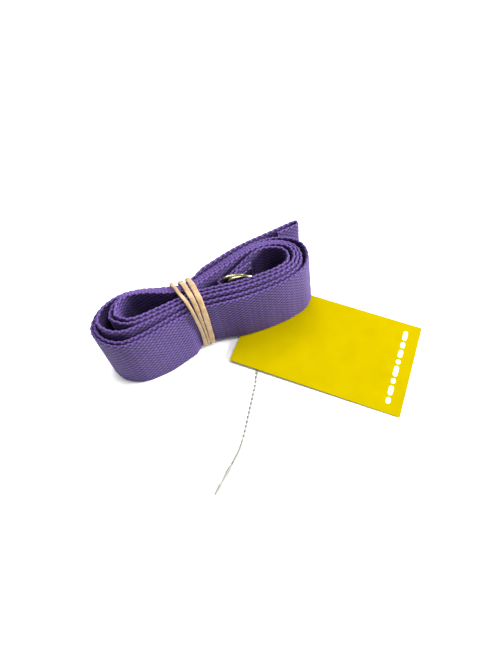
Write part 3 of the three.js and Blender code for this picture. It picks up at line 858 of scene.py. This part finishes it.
hem_middle = HEM_FOLD - HEM_LENGTH / 2 * heading(HEM_HEADING) + HEM_RADIUS * heading(HEM_HEADING + 90)
hem_place = beside_webbing(hem_middle, HEM_HEADING, 1)
hem_seam = box_stitch("tail_hem_seam", *HEM_SEAM, hem_place, HEM_HEADING)
sewn_run = SEWN_BACK[-1] - SEWN_BACK[1]
sewn_heading = math.degrees(math.atan2(sewn_run[1], sewn_run[0]))
loop_place = beside_webbing(SEWN_BACK[3] + LOOP_SEAM_SHIFT, sewn_heading, -1)
loop_seam = box_stitch("ring_loop_seam", *LOOP_SEAM, loop_place, sewn_heading)
for seam, node in ((hem_seam, "tail_hem_stitches"), (loop_seam, "ring_loop_stitches")):
    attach(seam, "hank")
    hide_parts(node)

# ---------------------------------------------------------------- hang tag
TAG_LENGTH = 88.9
TAG_WIDTH = 54.0
TAG_THICKNESS = 0.35
TAG_TURN = -42.2
TAG_NEAR_CORNER = Vector((-22.7, 7.15, 1.95))
TAG_DROP = 1.85  # how much lower its far short edge lies
TAG_SLOPE = math.degrees(math.asin(TAG_DROP / TAG_LENGTH))
MARK_LENGTHS = [3.4, 5.2, 3.0, 6.0, 2.6, 4.6, 3.6, 5.6]
MARK_HEIGHT = 2.2
MARK_GAP = 1.4
MARKS_FROM_END = 7.3  # from the card's short edge to the middle of the row
MARK_LEVELS = [TAG_THICKNESS + 0.005, TAG_THICKNESS + 0.03]

tag_to_work = Matrix.Translation(TAG_NEAR_CORNER) @ turned("Z", TAG_TURN) @ turned("Y", TAG_SLOPE)


def tag_marks():
    """A row of plain rounded marks, printed near the card's free short edge."""
    marks = []
    total = sum(MARK_LENGTHS) + MARK_GAP * (len(MARK_LENGTHS) - 1)
    start = (TAG_WIDTH - total) / 2
    x = TAG_LENGTH - MARKS_FROM_END
    radius = MARK_HEIGHT / 2
    for length in MARK_LENGTHS:
        end = start + length
        lower_bend = bend((x, start + radius), radius, 180, 360, 10)
        upper_bend = bend((x, end - radius), radius, 0, 180, 10)
        outline = np.concatenate([lower_bend, upper_bend])
        rings = [[tag_to_work @ Vector((*point, level)) for point in outline] for level in MARK_LEVELS]
        marks.append(skin("tag_marks", rings))
        start = end + MARK_GAP
    return PRINT.on(joined("tag_marks", marks))


marks = tag_marks()
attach(marks, "tag")

CARD.on(nodes["hang_tag"])
NYLON.on(nodes["tag_tie_head"])

# ---------------------------------------------------------------- floor and light
FLOOR_SIZE = 6.0  # metres
FLOOR_HEIGHT = -0.0002  # a hair under the part, so that the two surfaces are never in one plane
FLOOR_SHADE = 0.88

bpy.ops.mesh.primitive_plane_add(size=FLOOR_SIZE, location=(0, 0, FLOOR_HEIGHT))
floor = bpy.context.object
floor.name = "floor"
floor_shade = (FLOOR_SHADE, FLOOR_SHADE, FLOOR_SHADE, 1)
FLOOR = Material("floor", Roughness=0.9, Specular_IOR_Level=0.0, Base_Color=floor_shade)
FLOOR.on(floor)

SKY_LOW = 0.28
SKY_HIGH = 1.1
WINDOW_SIDE = (0.15, 0.4, 0.9)  # where the studio is brightest

world = bpy.data.worlds.new("studio")
world.use_nodes = True
sky = world.node_tree.nodes
towards_window = sky.new("ShaderNodeVectorMath")
towards_window.operation = "DOT_PRODUCT"
towards_window.inputs[1].default_value = WINDOW_SIDE
sky_ramp = sky.new("ShaderNodeValToRGB")
for element, shade in zip(sky_ramp.color_ramp.elements, (SKY_LOW, SKY_HIGH)):
    element.color = (shade, shade, shade, 1)
view_direction = sky.new("ShaderNodeTexCoord").outputs["Generated"]
world.node_tree.links.new(view_direction, towards_window.inputs[0])
world.node_tree.links.new(towards_window.outputs["Value"], sky_ramp.inputs["Fac"])
world.node_tree.links.new(sky_ramp.outputs["Color"], sky["Background"].inputs["Color"])
bpy.context.scene.world = world


def softbox(name, place, target, size, power):
    """A round area light, placed and sized in metres, with its power in watts."""
    light = bpy.data.objects.new(name, bpy.data.lights.new(name, "AREA"))
    light.data.shape = "DISK"
    light.data.size = size
    light.data.energy = power
    light.location = place
    light.rotation_euler = (Vector(target) - Vector(place)).to_track_quat("-Z", "Y").to_euler()
    bpy.context.scene.collection.objects.link(light)


softbox("key", (1.0, -0.12, 0.38), (0.0, 0.02, 0.02), 0.4, 34)
softbox("fill", (0.35, -0.2, 1.0), (0.03, 0.02, 0.02), 0.3, 6)
softbox("overhead", (-0.05, 0.35, 1.15), (0, 0, 0), 0.6, 14)

view_settings = bpy.context.scene.view_settings
view_settings.view_transform = "Standard"
view_settings.look = "None"
